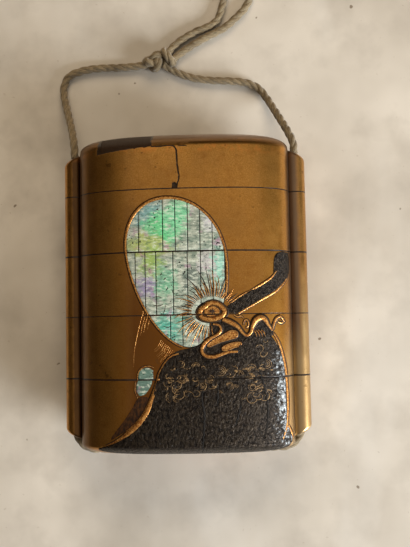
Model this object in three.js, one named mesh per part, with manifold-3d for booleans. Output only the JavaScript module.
// Inro: an oval lacquer box in five sections that stack on riser lips (a lid and four cases),
// with a runner for the cord down each side, a mother-of-pearl and lead picture let into the
// front, and its laid cord. It lies on its back, lid towards +Y, front up (+Z), in millimetres.
import * as THREE from 'three';
import { mergeVertices } from 'three/addons/utils/BufferGeometryUtils.js';
import Module from 'manifold-3d';

const wasm = await Module();
wasm.setup();

// Body: the oval section across the box
const BODY_HALF_WIDTH = 27;
const BODY_HALF_DEPTH = 11.5;
const OVAL_POWER = 2.6; // 2 would be an ellipse, higher is squarer
const OVAL_SEGMENTS = 32;
const FLAT_SPOT = 0.2; // ground off the back, so the box doesn't rock
const MID = BODY_HALF_DEPTH - FLAT_SPOT; // height of the mid-plane over the table

// Body: places along the box
const TOP = 40.7;
const LID_EDGE = 35.4; // where the lid's dome begins
const BASE_EDGE = -37.8; // where the base's dome begins
const BOTTOM = -40.7;
const DOME_POWER = 2.8; // the domes as seen from the front
const DOME_FACE_POWER = 1.55; // the domes as seen from the side
const DOME_STEPS = 4;
const FIRST_SEAM = 24.8;
const CASE_HEIGHT = 15.5;
const SEAM_GAP = 0.3;

// Walls and risers
const WALL = 2.3; // inset of the cavity
const REBATE_WALL = 1.2; // thin wall that hides the riser of the case below
const RISER_INSET = 1.5; // outer face of the riser
const RISER_HEIGHT = 5;
const REBATE_HEIGHT = 5.3;
const FLOOR = 1.4;
const LID_ROOF = 2;
const BASE_CAVITY = -36.8; // floor of the bottom case, over the cord's channel

// Cord and its runners
const CORD_RADIUS = 1;
const CORD_SIDES = 8;
const CORD_STEP = 4.5;
const BORE_RADIUS = 1.38;
const RUNNER_X = 28.6;
const RUNNER_RADIUS = 2.6;
const RUNNER_TOP = 35;
const RUNNER_BOTTOM = -36.3;
const RUNNER_ROUNDING = 0.9;
const RUNNER_SLANT = 0.5; // how its ends fall away outwards, for each mm across
const RUNNER_SEGMENTS = 14;
const BORE_SEGMENTS = 10;
const BASE_RUN_Y = -39.7; // the cord's centre under the base
const BASE_BEND = 5; // radius of the cord where it turns under the base
const GAP = 0.3;

// Inlay and raised lacquer
const PLATE_DEPTH = 0.35; // how far a plate is let into the wall
const PEARL_PROUD = 0.1;
const LEAD_PROUD = 0.25;
const RELIEF_PROUD = 0.35;
const STAFF_PROUD = 0.25;

const LACQUER = { color: 0x8a5c1e, roughness: 0.35, metalness: 0.6 };
const PEARL = { color: 0xa9cbb4, roughness: 0.25, metalness: 0.1 };
const LEAD = { color: 0x3a3530, roughness: 0.6, metalness: 0.4 };
const CORD = { color: 0x7d694b, roughness: 0.9, metalness: 0 };

const inro = new THREE.Group();

// --- solids -----------------------------------------------------------------------------------

// A closed geometry from rings of points: each ring joins the next, and then either the last
// joins the first, or both ends are closed by fans. All rings have the same number of points.
function loft(rings, loop = false) {
  const count = rings[0].length;
  const positions = rings.flat(2);
  const indices = [];
  for (let ring = 0; ring < rings.length - (loop ? 0 : 1); ring++) {
    const next = ((ring + 1) % rings.length) * count;
    for (let i = 0; i < count; i++) {
      const j = (i + 1) % count;
      const [a, b] = [ring * count + i, ring * count + j];
      indices.push(a, b, next + j, a, next + j, next + i);
    }
  }
  const last = (rings.length - 1) * count;
  for (let i = 1; i + 1 < count && !loop; i++) {
    indices.push(0, i + 1, i);
    indices.push(last, last + i, last + i + 1);
  }
  const geometry = new THREE.BufferGeometry();
  geometry.setAttribute('position', new THREE.Float32BufferAttribute(positions, 3));
  geometry.setIndex(indices);
  return outward(geometry);
}

// Turns a closed geometry's faces out where they point in.
function outward(geometry) {
  const { array } = geometry.attributes.position;
  const { array: index } = geometry.index;
  const [a, b, c] = [new THREE.Vector3(), new THREE.Vector3(), new THREE.Vector3()];
  let volume = 0;
  for (let i = 0; i < index.length; i += 3) {
    a.fromArray(array, 3 * index[i]);
    b.fromArray(array, 3 * index[i + 1]);
    c.fromArray(array, 3 * index[i + 2]);
    volume += a.dot(b.cross(c));
  }
  if (volume < 0) {
    for (let i = 0; i < index.length; i += 3) {
      [index[i], index[i + 1]] = [index[i + 1], index[i]];
    }
  }
  return geometry;
}

function solid(geometry) {
  const bare = geometry.clone();
  bare.deleteAttribute('normal');
  bare.deleteAttribute('uv');
  const merged = mergeVertices(bare, 1e-4);
  return new wasm.Manifold(new wasm.Mesh({
    numProp: 3,
    vertProperties: new Float32Array(merged.attributes.position.array),
    triVerts: new Uint32Array(merged.index.array),
  }));
}

function geometryOf(manifold) {
  const mesh = manifold.getMesh();
  const geometry = new THREE.BufferGeometry();
  geometry.setAttribute('position', new THREE.BufferAttribute(mesh.vertProperties, 3));
  geometry.setIndex(new THREE.BufferAttribute(mesh.triVerts, 1));
  geometry.computeVertexNormals();
  return geometry;
}

function addMesh(name, geometry, finish) {
  const mesh = new THREE.Mesh(geometry, new THREE.MeshStandardMaterial(finish));
  mesh.name = name;
  inro.add(mesh);
}

function box(xSpan, ySpan, zSpan) {
  const spans = [xSpan, ySpan, zSpan];
  const geometry = new THREE.BoxGeometry(...spans.map(([low, high]) => high - low));
  return solid(geometry.translate(...spans.map(([low, high]) => (low + high) / 2)));
}

// A turned shape with its axis along Y, through (x, MID): profile points are [radius, y].
function turned(profile, x, segments) {
  const points = profile.map(([radius, y]) => new THREE.Vector2(radius, y));
  const lathe = new THREE.LatheGeometry(points, segments);
  lathe.translate(x, 0, MID);
  lathe.deleteAttribute('normal');
  lathe.deleteAttribute('uv');
  return outward(mergeVertices(lathe, 1e-4));
}

function tube(curve, radius, steps) {
  const section = new THREE.Shape();
  for (let i = 0; i < CORD_SIDES; i++) {
    const angle = (2 * Math.PI * i) / CORD_SIDES;
    const [x, y] = [radius * Math.cos(angle), radius * Math.sin(angle)];
    if (i === 0) section.moveTo(x, y);
    else section.lineTo(x, y);
  }
  return new THREE.ExtrudeGeometry(section, { steps, bevelEnabled: false, extrudePath: curve });
}

// --- the body ---------------------------------------------------------------------------------

// One ring of the oval section at y, inset from the outer face and scaled about the axis, by one
// share across and one in depth.
function ovalRing(inset, scale, y, depthScale = scale) {
  const ring = [];
  for (let i = 0; i < OVAL_SEGMENTS; i++) {
    const angle = (2 * Math.PI * i) / OVAL_SEGMENTS;
    const [c, s] = [Math.cos(angle), Math.sin(angle)];
    const x = scale * (BODY_HALF_WIDTH - inset) * Math.sign(c) * Math.abs(c) ** (2 / OVAL_POWER);
    const z = depthScale * (BODY_HALF_DEPTH - inset) * Math.sign(s) * Math.abs(s) ** (2 / OVAL_POWER);
    ring.push([x, y, MID + z]);
  }
  return ring;
}

// Rings from a dome's edge to its crown; the crown ends in a very small flat.
function domeRings(inset, edge, crown) {
  const rings = [];
  for (let step = 0; step <= DOME_STEPS; step++) {
    const angle = (Math.PI / 2) * (step / DOME_STEPS) * 0.97;
    const scale = Math.cos(angle) ** (2 / DOME_POWER);
    const height = Math.sin(angle) ** (2 / DOME_POWER);
    const depthScale = (1 - height ** DOME_FACE_POWER) ** (1 / DOME_FACE_POWER);
    rings.push(ovalRing(inset, scale, edge + (crown - edge) * height, depthScale));
  }
  return rings;
}

function straightRings(inset, low, high) {
  return [ovalRing(inset, 1, low), ovalRing(inset, 1, high)];
}

// Height of the front face over x, straight along Y between the two domes.
function frontAt(x) {
  const reach = Math.min(Math.abs(x) / BODY_HALF_WIDTH, 1) ** OVAL_POWER;
  return MID + BODY_HALF_DEPTH * (1 - reach) ** (1 / OVAL_POWER);
}

function runner(side, low, high, roundLow, roundHigh) {
  const shoulder = RUNNER_RADIUS - RUNNER_ROUNDING;
  const halfway = RUNNER_RADIUS - 0.3 * RUNNER_ROUNDING;
  const profile = [[0, low]];
  if (roundLow) {
    profile.push([shoulder, low], [halfway, low + 0.35 * RUNNER_ROUNDING]);
    profile.push([RUNNER_RADIUS, low + RUNNER_ROUNDING]);
  } else profile.push([RUNNER_RADIUS, low]);
  if (roundHigh) {
    profile.push([RUNNER_RADIUS, high - RUNNER_ROUNDING]);
    profile.push([halfway, high - 0.35 * RUNNER_ROUNDING], [shoulder, high]);
  } else profile.push([RUNNER_RADIUS, high]);
  profile.push([0, high]);
  const form = turned(profile, side * RUNNER_X, RUNNER_SEGMENTS);
  const place = form.attributes.position;
  for (let i = 0; i < place.count; i++) {
    const fall = RUNNER_SLANT * (side * place.getX(i) - RUNNER_X);
    const y = place.getY(i);
    if (roundHigh && y > high - RUNNER_ROUNDING - 0.1) place.setY(i, y - fall);
    if (roundLow && y < low + RUNNER_ROUNDING + 0.1) place.setY(i, y + fall);
  }
  return solid(form);
}

// The cord's way through the box: down the left runner, under the base, up the right one.
const heldRoute = new THREE.CurvePath();
{
  const turn = RUNNER_X - BASE_BEND;
  const mouth = (x, y) => new THREE.Vector3(x, y, MID);
  heldRoute.add(new THREE.LineCurve3(mouth(-RUNNER_X, RUNNER_TOP), mouth(-RUNNER_X, BASE_RUN_Y + BASE_BEND)));
  heldRoute.add(quarterBend(-turn, Math.PI, 1.5 * Math.PI));
  heldRoute.add(new THREE.LineCurve3(mouth(-turn, BASE_RUN_Y), mouth(turn, BASE_RUN_Y)));
  heldRoute.add(quarterBend(turn, 1.5 * Math.PI, 2 * Math.PI));
  heldRoute.add(new THREE.LineCurve3(mouth(RUNNER_X, BASE_RUN_Y + BASE_BEND), mouth(RUNNER_X, RUNNER_TOP)));
}

function quarterBend(x, from, to) {
  const bend = new THREE.Curve();
  bend.getPoint = (t, target = new THREE.Vector3()) => {
    const angle = from + (to - from) * t;
    const y = BASE_RUN_Y + BASE_BEND + BASE_BEND * Math.sin(angle);
    return target.set(x + BASE_BEND * Math.cos(angle), y, MID);
  };
  return bend;
}

function cordBores() {
  const bores = [];
  for (const side of [-1, 1]) {
    const profile = [[0, -50], [BORE_RADIUS, -50], [BORE_RADIUS, 50], [0, 50]];
    bores.push(solid(turned(profile, side * RUNNER_X, BORE_SEGMENTS)));
  }
  return bores[0].add(bores[1]);
}

function baseChannel() {
  const turn = RUNNER_X - BASE_BEND;
  const low = BASE_RUN_Y + BASE_BEND;
  const route = new THREE.CurvePath();
  const at = (x, y) => new THREE.Vector3(x, y, MID);
  route.add(new THREE.LineCurve3(at(-RUNNER_X, low + 3), at(-RUNNER_X, low)));
  route.add(quarterBend(-turn, Math.PI, 1.5 * Math.PI));
  route.add(new THREE.LineCurve3(at(-turn, BASE_RUN_Y), at(turn, BASE_RUN_Y)));
  route.add(quarterBend(turn, 1.5 * Math.PI, 2 * Math.PI));
  route.add(new THREE.LineCurve3(at(RUNNER_X, low), at(RUNNER_X, low + 3)));
  const groove = solid(tube(route, BORE_RADIUS * 1.06, 26));
  return groove.add(box([-turn - 2, turn + 2], [BOTTOM - 2, BASE_RUN_Y],
    [MID - BORE_RADIUS, MID + BORE_RADIUS]));
}

const backGround = box([-40, 40], [-60, 60], [-5, 0]);
const bores = cordBores();

// Outer form of one section with its two lengths of runner.
function section(rings, low, high, roundLow, roundHigh) {
  let form = solid(loft(rings));
  for (const side of [-1, 1]) form = form.add(runner(side, low, high, roundLow, roundHigh));
  return form.subtract(backGround).subtract(bores);
}

function riser(seam) {
  const outer = solid(loft(straightRings(RISER_INSET, seam - 3, seam + RISER_HEIGHT)));
  const inner = solid(loft(straightRings(WALL, seam - 4, seam + RISER_HEIGHT + 1)));
  return outer.subtract(inner);
}

// --- the picture ------------------------------------------------------------------------------

// Where a closed outline of [x, y] points crosses the line x: its lowest and highest y.
function spanAt(outline, x) {
  let [low, high] = [Infinity, -Infinity];
  outline.forEach(([x0, y0], i) => {
    const [x1, y1] = outline[(i + 1) % outline.length];
    if ((x0 - x) * (x1 - x) > 0 || x0 === x1) return;
    const y = y0 + ((y1 - y0) * (x - x0)) / (x1 - x0);
    low = Math.min(low, y);
    high = Math.max(high, y);
  });
  return [low, high];
}

// A plate that follows the front face, from x low to x high, between two heights y that are
// functions of x, and from z depth under the face to z proud over it. A pocket for it is the
// same shape grown by a margin all round.
function plate({ xLow, xHigh, yLow, yHigh, columns = 3 }, depth, proud, margin = 0) {
  const inside = (x) => Math.min(Math.max(x, xLow), xHigh);
  const stations = Array.from({ length: columns }, (_, i) => xLow + ((xHigh - xLow) * i) / (columns - 1));
  if (margin > 0) stations.unshift(xLow - margin), stations.push(xHigh + margin);
  return loft(stations.map((x) => {
    const near = [x - margin, x, x + margin].map(inside);
    const low = Math.min(...near.map(yLow)) - margin;
    const high = Math.max(...near.map(yHigh)) + margin;
    const [under, over] = [frontAt(x) - depth, frontAt(x) + proud];
    return [[x, low, under], [x, high, under], [x, high, over], [x, low, over]];
  }));
}

// A raised line of lacquer along a curve in the picture plane, sunk a little in the face.
function ridge(points, halfWidth, loop = false) {
  const last = points.length - 1;
  const rings = points.map(([x, y], i) => {
    const before = points[i > 0 ? i - 1 : loop ? last : 0];
    const after = points[i < last ? i + 1 : loop ? 0 : last];
    const along = new THREE.Vector2(after[0] - before[0], after[1] - before[1]).normalize();
    const corner = (offset, lift) => {
      const across = x - along.y * offset;
      return [across, y + along.x * offset, frontAt(across) + lift];
    };
    return [corner(-1.2 * halfWidth, -0.3), corner(-0.6 * halfWidth, RELIEF_PROUD),
      corner(0.6 * halfWidth, RELIEF_PROUD), corner(1.2 * halfWidth, -0.3)];
  });
  return solid(loft(rings, loop));
}

// Head: an egg with its narrow end down, leaning left, grown by a margin.
const HEAD = { x: -1.7, y: 8.5, halfWidth: 11.9, rise: 13.7, fall: 22.5, lean: 0.14 };
function headOutline(margin, count = 40, from = 0, to = 2 * Math.PI) {
  const outline = [];
  for (let i = 0; i < count; i++) {
    const angle = from + ((to - from) * i) / count;
    const [c, s] = [Math.cos(angle), Math.sin(angle)];
    const power = s > 0 ? 2.1 : 1.85;
    const reach = (s > 0 ? HEAD.rise : HEAD.fall) + margin;
    const up = reach * Math.sign(s) * Math.abs(s) ** (2 / power);
    const across = (HEAD.halfWidth + margin) * Math.sign(c) * Math.abs(c) ** (2 / power);
    outline.push([HEAD.x + across - HEAD.lean * up, HEAD.y + up]);
  }
  return outline;
}

function ellipseOutline([x, y], halfWidth, halfHeight, count) {
  return Array.from({ length: count }, (_, i) => {
    const angle = (2 * Math.PI * i) / count;
    return [x + halfWidth * Math.cos(angle), y + halfHeight * Math.sin(angle)];
  });
}

function spline(points, count) {
  const curve = new THREE.SplineCurve(points.map(([x, y]) => new THREE.Vector2(x, y)));
  return curve.getSpacedPoints(count).map((point) => [point.x, point.y]);
}

const seams = Array.from({ length: 4 }, (_, i) => FIRST_SEAM - CASE_HEIGHT * i);
const spanOf = (i) => [i < 3 ? seams[i + 1] + SEAM_GAP / 2 : BASE_EDGE, seams[i] - SEAM_GAP / 2];

const EAR = { centre: [6.6, -6.1], halfWidth: 3.7, halfHeight: 2.3 };
const JAW_RIGHT = 6.4; // the pearl of the face stops at the ear's beard line

// The robe: hem at the left, neckline under the chin, shoulder and long edge at the right.
const robeLeft = [[-17.6, -37.2], [-12.8, -34.4], [-10, -31.2], [-8.4, -27.4], [-6.8, -21.7],
  [-5.4, -19.2], [-2.8, -16.9], [1.5, -16.1]];
const robeTop = [[1.5, -16.1], [5, -17.2], [9, -16.6], [12.5, -14.6], [15.6, -11.8], [18.2, -10.6]];
const robeRight = [[18.2, -10.6], [21, -12.6], [22.9, -15.8], [23.7, -20], [23.9, -27], [23.8, -32.6],
  [22.6, -37.2]];
const robeOutline = [...spline(robeLeft, 12), ...spline(robeTop, 8).slice(1),
  ...spline(robeRight, 10).slice(1)];

const STAFF = { foot: [12, -6], head: [25, 6.4], halfWidth: 1.35 };

// Plates of pearl and lead, by case: each has a name, a range of x and heights y(x).
function pearlStrips(caseIndex, joints, name) {
  const [low, high] = spanOf(caseIndex);
  const outline = headOutline(0);
  const earTop = ellipseOutline(EAR.centre, EAR.halfWidth + 0.75, EAR.halfHeight + 0.75, 32);
  return joints.slice(1).map((joint, i) => {
    const yLow = (x) => {
      const floor = Math.max(spanAt(outline, x)[0], low + 0.15);
      const [, ear] = spanAt(earTop, x);
      return caseIndex === 1 ? Math.max(floor, ear) : floor;
    };
    const yHigh = (x) => {
      const roof = Math.min(spanAt(outline, x)[1], high - 0.15);
      const [ear] = spanAt(earTop, x);
      return caseIndex === 2 ? Math.min(roof, ear) : roof;
    };
    return { name: `${name}_${i + 1}`, xLow: joints[i], xHigh: joint - GAP, yLow, yHigh };
  });
}

function outlinePlate(name, outline, caseIndex, xLow, xHigh, columns) {
  const [low, high] = spanOf(caseIndex);
  const yLow = (x) => Math.max(spanAt(outline, x)[0], low + 0.15);
  const yHigh = (x) => Math.min(spanAt(outline, x)[1], high - 0.15);
  return { name, xLow, xHigh, yLow, yHigh, columns };
}

const handUpper = ellipseOutline([-9.2, -20.8], 2.1, 2, 24);
const handLower = [[-11.6, -21.9], [-7.7, -21.9], [-8.4, -23.6], [-9.6, -25.2], [-11, -25.6], [-11.8, -24.3]];

const platesOf = {
  1: pearlStrips(0, [-13.2, -10.7, -4.7, -1.65, 1.4, 4.4, 7.4, 9.7], 'pearl_head_upper'),
  2: pearlStrips(1, [-13.4, -11.6, -9.15, -6.5, -2.3, 1.2, 4.4, 7.35, 10], 'pearl_head_second'),
  3: [
    ...pearlStrips(2, [-7.4, -3.1, -0.15, JAW_RIGHT], 'pearl_head_third'),
    outlinePlate('pearl_hand_third', handUpper, 2, -11.1, -7.7, 5),
    { ...outlinePlate('robe_third', robeOutline, 2, -6.5, 23.3, 12), lead: true },
  ],
  4: [
    outlinePlate('pearl_hand_bottom', handLower, 3, -11.7, -8.1, 4),
    { ...outlinePlate('robe_bottom', robeOutline, 3, -17, 23.6, 14), lead: true },
  ],
};

// Raised lacquer: rim of the head, ear, robe outline, collar and ribbon, staff.
function picture() {
  const rim = ridge(headOutline(0.75, 26, -0.06 * Math.PI, 1.46 * Math.PI), 0.45);
  const ear = ridge(ellipseOutline(EAR.centre, EAR.halfWidth - 0.1, EAR.halfHeight - 0.1, 14), 0.6, true);
  const lobeOutline = ellipseOutline(EAR.centre, 1.8, 1.1, 16);
  const lobe = solid(plate({
    xLow: EAR.centre[0] - 1.6,
    xHigh: EAR.centre[0] + 1.6,
    yLow: (x) => spanAt(lobeOutline, x)[0],
    yHigh: (x) => spanAt(lobeOutline, x)[1],
  }, PLATE_DEPTH, RELIEF_PROUD));
  const hem = ridge(spline(robeLeft.map(([x, y]) => [x - 0.55, y + 0.25]), 12), 0.4);
  const edge = ridge(spline(robeRight.map(([x, y]) => [x + 0.55, y + 0.2]), 10), 0.4);
  const collar = ridge(spline([[7.4, -9.4], [8.8, -10.6], [7.2, -12.2], [5.5, -13.8], [6.3, -15.2],
    [9, -14.7], [12.4, -13.7]], 12), 0.5);
  const ribbon = ridge(spline([[9.9, -8], [12.6, -9.3], [14.4, -11], [16.6, -9.2], [19, -7.4],
    [21, -9.2], [22.4, -8.2], [24, -8]], 12), 0.5);
  const bar = staff();
  return [rim, ear, lobe, hem, edge, collar, ribbon, bar].reduce((all, form) => all.add(form));
}

function staff() {
  const [x0, y0] = STAFF.foot;
  const [x1, y1] = STAFF.head;
  const slope = (y1 - y0) / (x1 - x0);
  const middle = (x) => y0 + slope * (x - x0);
  const rise = STAFF.halfWidth * Math.hypot(1, slope);
  const outline = { xLow: x0, xHigh: x1, yLow: (x) => middle(x) - rise, yHigh: (x) => middle(x) + rise };
  return solid(plate({ ...outline, columns: 6 }, PLATE_DEPTH, STAFF_PROUD));
}

const relief = picture();

// The chip at the lid's crack: a small wedge out of the lid's lower edge.
function lidChip() {
  const outline = [[-3.2, FIRST_SEAM - 1], [-0.6, FIRST_SEAM - 1], [-2.4, FIRST_SEAM + 1.9]];
  const rings = [0.45, -3].map((depth) => outline.map(([x, y]) => [x, y, frontAt(x) - depth]));
  return solid(loft(rings));
}

// A section's form with its raised lacquer, pockets for its plates, and the plates themselves.
function dress(form, caseIndex, plates) {
  const [low, high] = spanOf(caseIndex);
  let dressed = form.add(relief.intersect(box([-27, 27], [low, high], [MID, 40])));
  for (const outline of plates) {
    const [proud, finish] = outline.lead ? [LEAD_PROUD, LEAD] : [PEARL_PROUD, PEARL];
    dressed = dressed.subtract(solid(plate(outline, PLATE_DEPTH + GAP, 2, GAP)));
    addMesh(outline.name, plate(outline, PLATE_DEPTH, proud), finish);
  }
  return dressed;
}

// --- sections ---------------------------------------------------------------------------------

function makeLid() {
  const low = seams[0] + SEAM_GAP / 2;
  const outer = [ovalRing(0, 1, low), ...domeRings(0, LID_EDGE, TOP)];
  const cavity = [ovalRing(WALL, 1, low - 1), ...domeRings(WALL, LID_EDGE - 0.8, TOP - LID_ROOF)];
  const rebate = straightRings(REBATE_WALL, low - 1, low + REBATE_HEIGHT);
  const lid = section(outer, low, RUNNER_TOP, false, true)
    .subtract(solid(loft(cavity))).subtract(solid(loft(rebate))).subtract(lidChip());
  addMesh('lid', geometryOf(lid), LACQUER);
}

function makeCase(name, index) {
  const [low, high] = spanOf(index);
  const rebateTop = low + REBATE_HEIGHT;
  const cavity = straightRings(WALL, rebateTop + FLOOR, high + 1);
  const rebate = straightRings(REBATE_WALL, low - 1, rebateTop);
  const form = section(straightRings(0, low, high), low, high, false, false)
    .subtract(solid(loft(cavity))).subtract(solid(loft(rebate))).add(riser(high));
  addMesh(name, geometryOf(dress(form, index, platesOf[index + 1])), LACQUER);
}

function makeBottomCase() {
  const [, high] = spanOf(3);
  const outer = [...domeRings(0, BASE_EDGE, BOTTOM).reverse(), ovalRing(0, 1, high)];
  const cavity = [ovalRing(WALL + 1.5, 1, BASE_CAVITY), ovalRing(WALL, 1, BASE_CAVITY + 1.5),
    ovalRing(WALL, 1, high + 1)];
  const form = section(outer, RUNNER_BOTTOM, high, true, false)
    .subtract(baseChannel()).subtract(solid(loft(cavity))).add(riser(high));
  addMesh('bottom_case', geometryOf(dress(form, 3, platesOf[4])), LACQUER);
}

makeLid();
['upper_case', 'second_case', 'third_case'].forEach(makeCase);
makeBottomCase();

// --- cord -------------------------------------------------------------------------------------

// Free runs, in points chosen by hand: out of each runner's mouth, down to the table, and to
// the knot; from there two strands run on to the coil.
const LEFT_RUN = [[-28.6, 35.3, 11.3], [-28.7, 38, 11.2], [-29.3, 41.5, 10], [-30.6, 46, 7.2],
  [-32.1, 50.5, 4.1], [-33.3, 54.5, 1.9], [-33.6, 58, 1.1], [-32, 61, 1.1], [-28, 62.5, 1.1],
  [-23, 63, 1.1], [-18, 63, 1.1], [-12.1, 63.3, 1.2]];
const RIGHT_RUN = [[28.6, 35.3, 11.3], [28.5, 38, 11.1], [27.6, 41, 9.6], [26, 45, 6.8],
  [24.3, 49, 3.9], [22.5, 52.8, 1.8], [20.4, 55.8, 1.1], [17, 57.5, 1.1], [12.5, 58.2, 1.1],
  [8, 58.5, 1.1], [3, 59.2, 1.1], [-1, 60.6, 1.1], [-4.4, 62.4, 1.3]];
const UPPER_STRAND = [[-4.6, 66.4, 1.5], [-2.6, 68.8, 1.1], [0, 70.7, 1.1], [3.4, 72.5, 1.1],
  [7, 73.9, 1.1], [9.3, 75.6, 1.1], [10.5, 78.6, 1.1], [11.5, 82.4, 1.1], [13, 87.6, 1.1],
  [14.5, 92.1, 1.1]];
const LOWER_STRAND = [[-4.1, 63.9, 1.5], [-1.2, 66.4, 1.1], [2.1, 68.6, 1.1], [6.1, 70.8, 1.1],
  [11, 73.2, 1.1], [14.4, 76, 1.1], [17.2, 79, 1.1], [18.7, 82.4, 1.1], [18.7, 86.3, 1.1]];
const KNOT = { at: [-8.2, 64], halfLength: 3.3, halfWidth: 2.6, halfHeight: 2.3 };
const COIL = { centre: [29, 99], outer: 14.7, inner: 3.9, height: 2.2 };
const END_KNOT = { radius: 3.3, height: 4.8 };

function cordTube(name, points) {
  const curve = new THREE.CatmullRomCurve3(points.map((point) => new THREE.Vector3(...point)));
  const steps = Math.ceil(curve.getLength() / CORD_STEP);
  addMesh(name, tube(curve, CORD_RADIUS, steps), CORD);
}

// A closed shape turned about a standing axis, on the table at x, y.
function standing(profile, [x, y], segments) {
  const points = profile.map(([radius, z]) => new THREE.Vector2(radius, z));
  const lathe = new THREE.LatheGeometry(points, segments);
  lathe.deleteAttribute('normal');
  lathe.deleteAttribute('uv');
  return outward(mergeVertices(lathe.rotateX(Math.PI / 2).translate(x, y, 0), 1e-4));
}

function knotForm(radius, height, at, segments = 14) {
  const profile = [[0, 0.05], [0.6 * radius, 0.1], [0.95 * radius, 0.28 * height],
    [radius, 0.5 * height], [0.9 * radius, 0.78 * height], [0.5 * radius, height], [0, height]];
  return standing(profile, at, segments);
}

function makeCord() {
  addMesh('cord_held', tube(heldRoute, CORD_RADIUS, 68), CORD);
  cordTube('cord_left_run', LEFT_RUN);
  cordTube('cord_right_run', RIGHT_RUN);
  cordTube('cord_upper_strand', UPPER_STRAND);
  cordTube('cord_lower_strand', LOWER_STRAND);
  const knot = knotForm(1, 2 * KNOT.halfHeight, [0, 0]);
  knot.scale(KNOT.halfLength, KNOT.halfWidth, 1).rotateZ(0.3).translate(...KNOT.at, 0);
  addMesh('cord_knot', knot, CORD);
  const { centre, outer, inner, height } = COIL;
  const ring = [[inner, 0.1], [outer - 0.4, 0.1], [outer, 0.7], [outer, height - 0.6],
    [outer - 0.4, height], [inner, height], [inner, 0.1]];
  addMesh('cord_coil', standing(ring, centre, 28), CORD);
  addMesh('cord_end_knot', knotForm(END_KNOT.radius, END_KNOT.height, centre), CORD);
}

makeCord();

export default inro;
